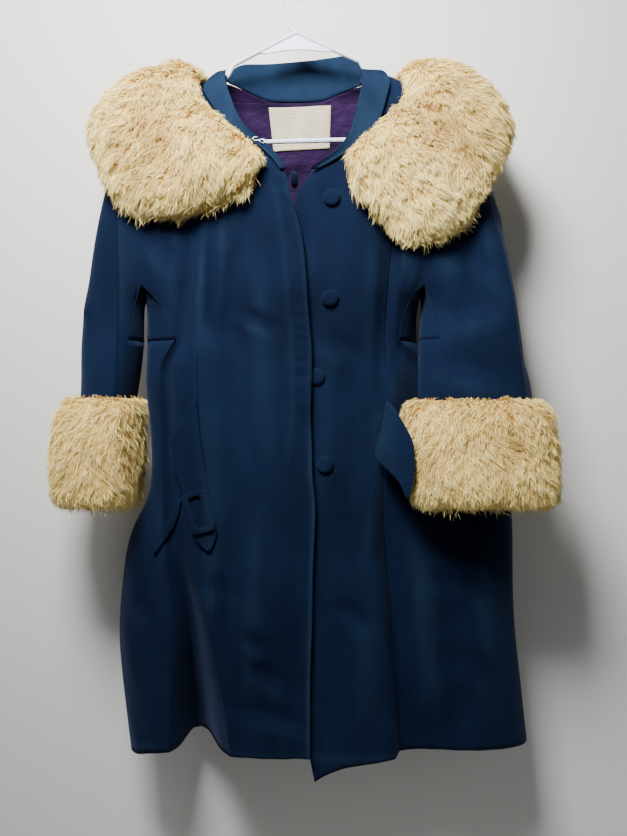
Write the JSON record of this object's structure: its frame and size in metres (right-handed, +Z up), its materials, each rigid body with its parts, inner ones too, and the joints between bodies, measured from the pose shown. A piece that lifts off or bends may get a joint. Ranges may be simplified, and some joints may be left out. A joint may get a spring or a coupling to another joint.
{
  "type": "fur-collared swing coat on a hanger",
  "caption": "Knee-length swing coat in dark velveteen with a fur cape collar and fur cuffs, hanging open-necked on a plastic hanger.",
  "frame": {"origin": "the inner top of the hanger's hook, where a rod carries it", "axes": "+Z up along the hanging coat, +X to the wearer's left, -Y out of the coat's front"},
  "size_m": [0.7287, 0.2236, 1.1602],
  "materials": {
    "velveteen": "matt pile",
    "stand": "matt pile",
    "fur": "long soft pile",
    "satin": "satin",
    "label": "woven",
    "plastic": "semi-gloss"
  },
  "bodies": {
    "root": {"front_right_centre": "velveteen", "front_right_side_and_sleeve": "velveteen", "front_left_centre": "velveteen", "front_left_side_and_sleeve": "velveteen", "back_and_sleeves": "velveteen", "gusset_right": "velveteen", "gusset_left": "velveteen", "neck_facing_right": "velveteen", "neck_facing_left": "velveteen", "belt_tab_right": "velveteen", "belt_tab_left": "velveteen", "buckle_right": "velveteen", "pocket_welt_right": "velveteen", "pocket_welt_left": "velveteen", "button_1": "velveteen", "button_2": "velveteen", "button_3": "velveteen", "button_4": "velveteen", "button_5": "velveteen", "collar_stand": "stand", "collar_fur": "fur", "cuff_right": "fur", "cuff_left": "fur", "lining_back": "satin", "label": "label", "hanger": "plastic"}
  },
  "joints": []
}
